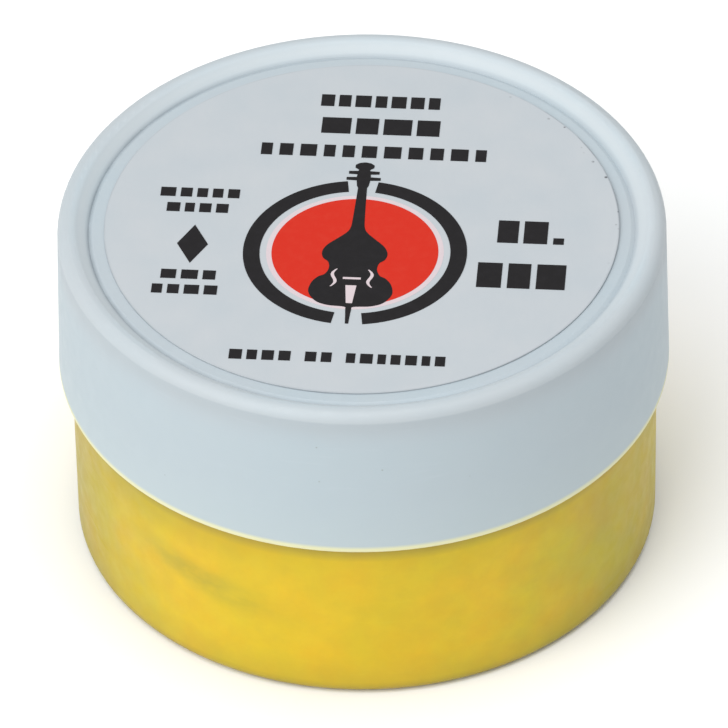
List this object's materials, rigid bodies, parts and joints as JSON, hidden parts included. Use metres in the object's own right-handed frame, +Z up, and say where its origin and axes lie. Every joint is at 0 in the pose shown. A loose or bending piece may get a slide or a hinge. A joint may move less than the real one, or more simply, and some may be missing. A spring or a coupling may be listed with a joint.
{
  "type": "rosin cake",
  "caption": "Round cake of bow rosin in a paper cup, kept in a low round plastic tub with a deep push-on lid and a round paper label.",
  "frame": {"origin": "centre of the tub's underside, on the plane that the foot ring stands on", "axes": "+Z up along the tub's axis, towards the lid; -Y is the front, the side that the label is read from"},
  "size_m": [0.052, 0.052, 0.0314],
  "materials": {
    "tub_plastic": "satin yellow polypropylene, faintly translucent",
    "lid_plastic": "smooth white polypropylene, slightly cool",
    "label_paper": "coated white paper, printed in black and red",
    "cup_paper": "waxed baking paper, stained by the rosin",
    "rosin": "glassy dark amber resin with a dusty, bowed top"
  },
  "bodies": {
    "tub": {"tub": "tub_plastic"},
    "cake": {"rosin_cake": "rosin", "cake_wrapper": "cup_paper"},
    "lid": {"lid": "lid_plastic", "lid_label": "label_paper"}
  },
  "joints": [
    {"name": "cake_lift", "type": "slide", "parent": "tub", "child": "cake", "axis": [0, 0, 1], "range_m": [0, 0.03]},
    {"name": "lid_lift", "type": "slide", "parent": "cake", "child": "lid", "axis": [0, 0, 1], "range_m": [0, 0.03]}
  ]
}
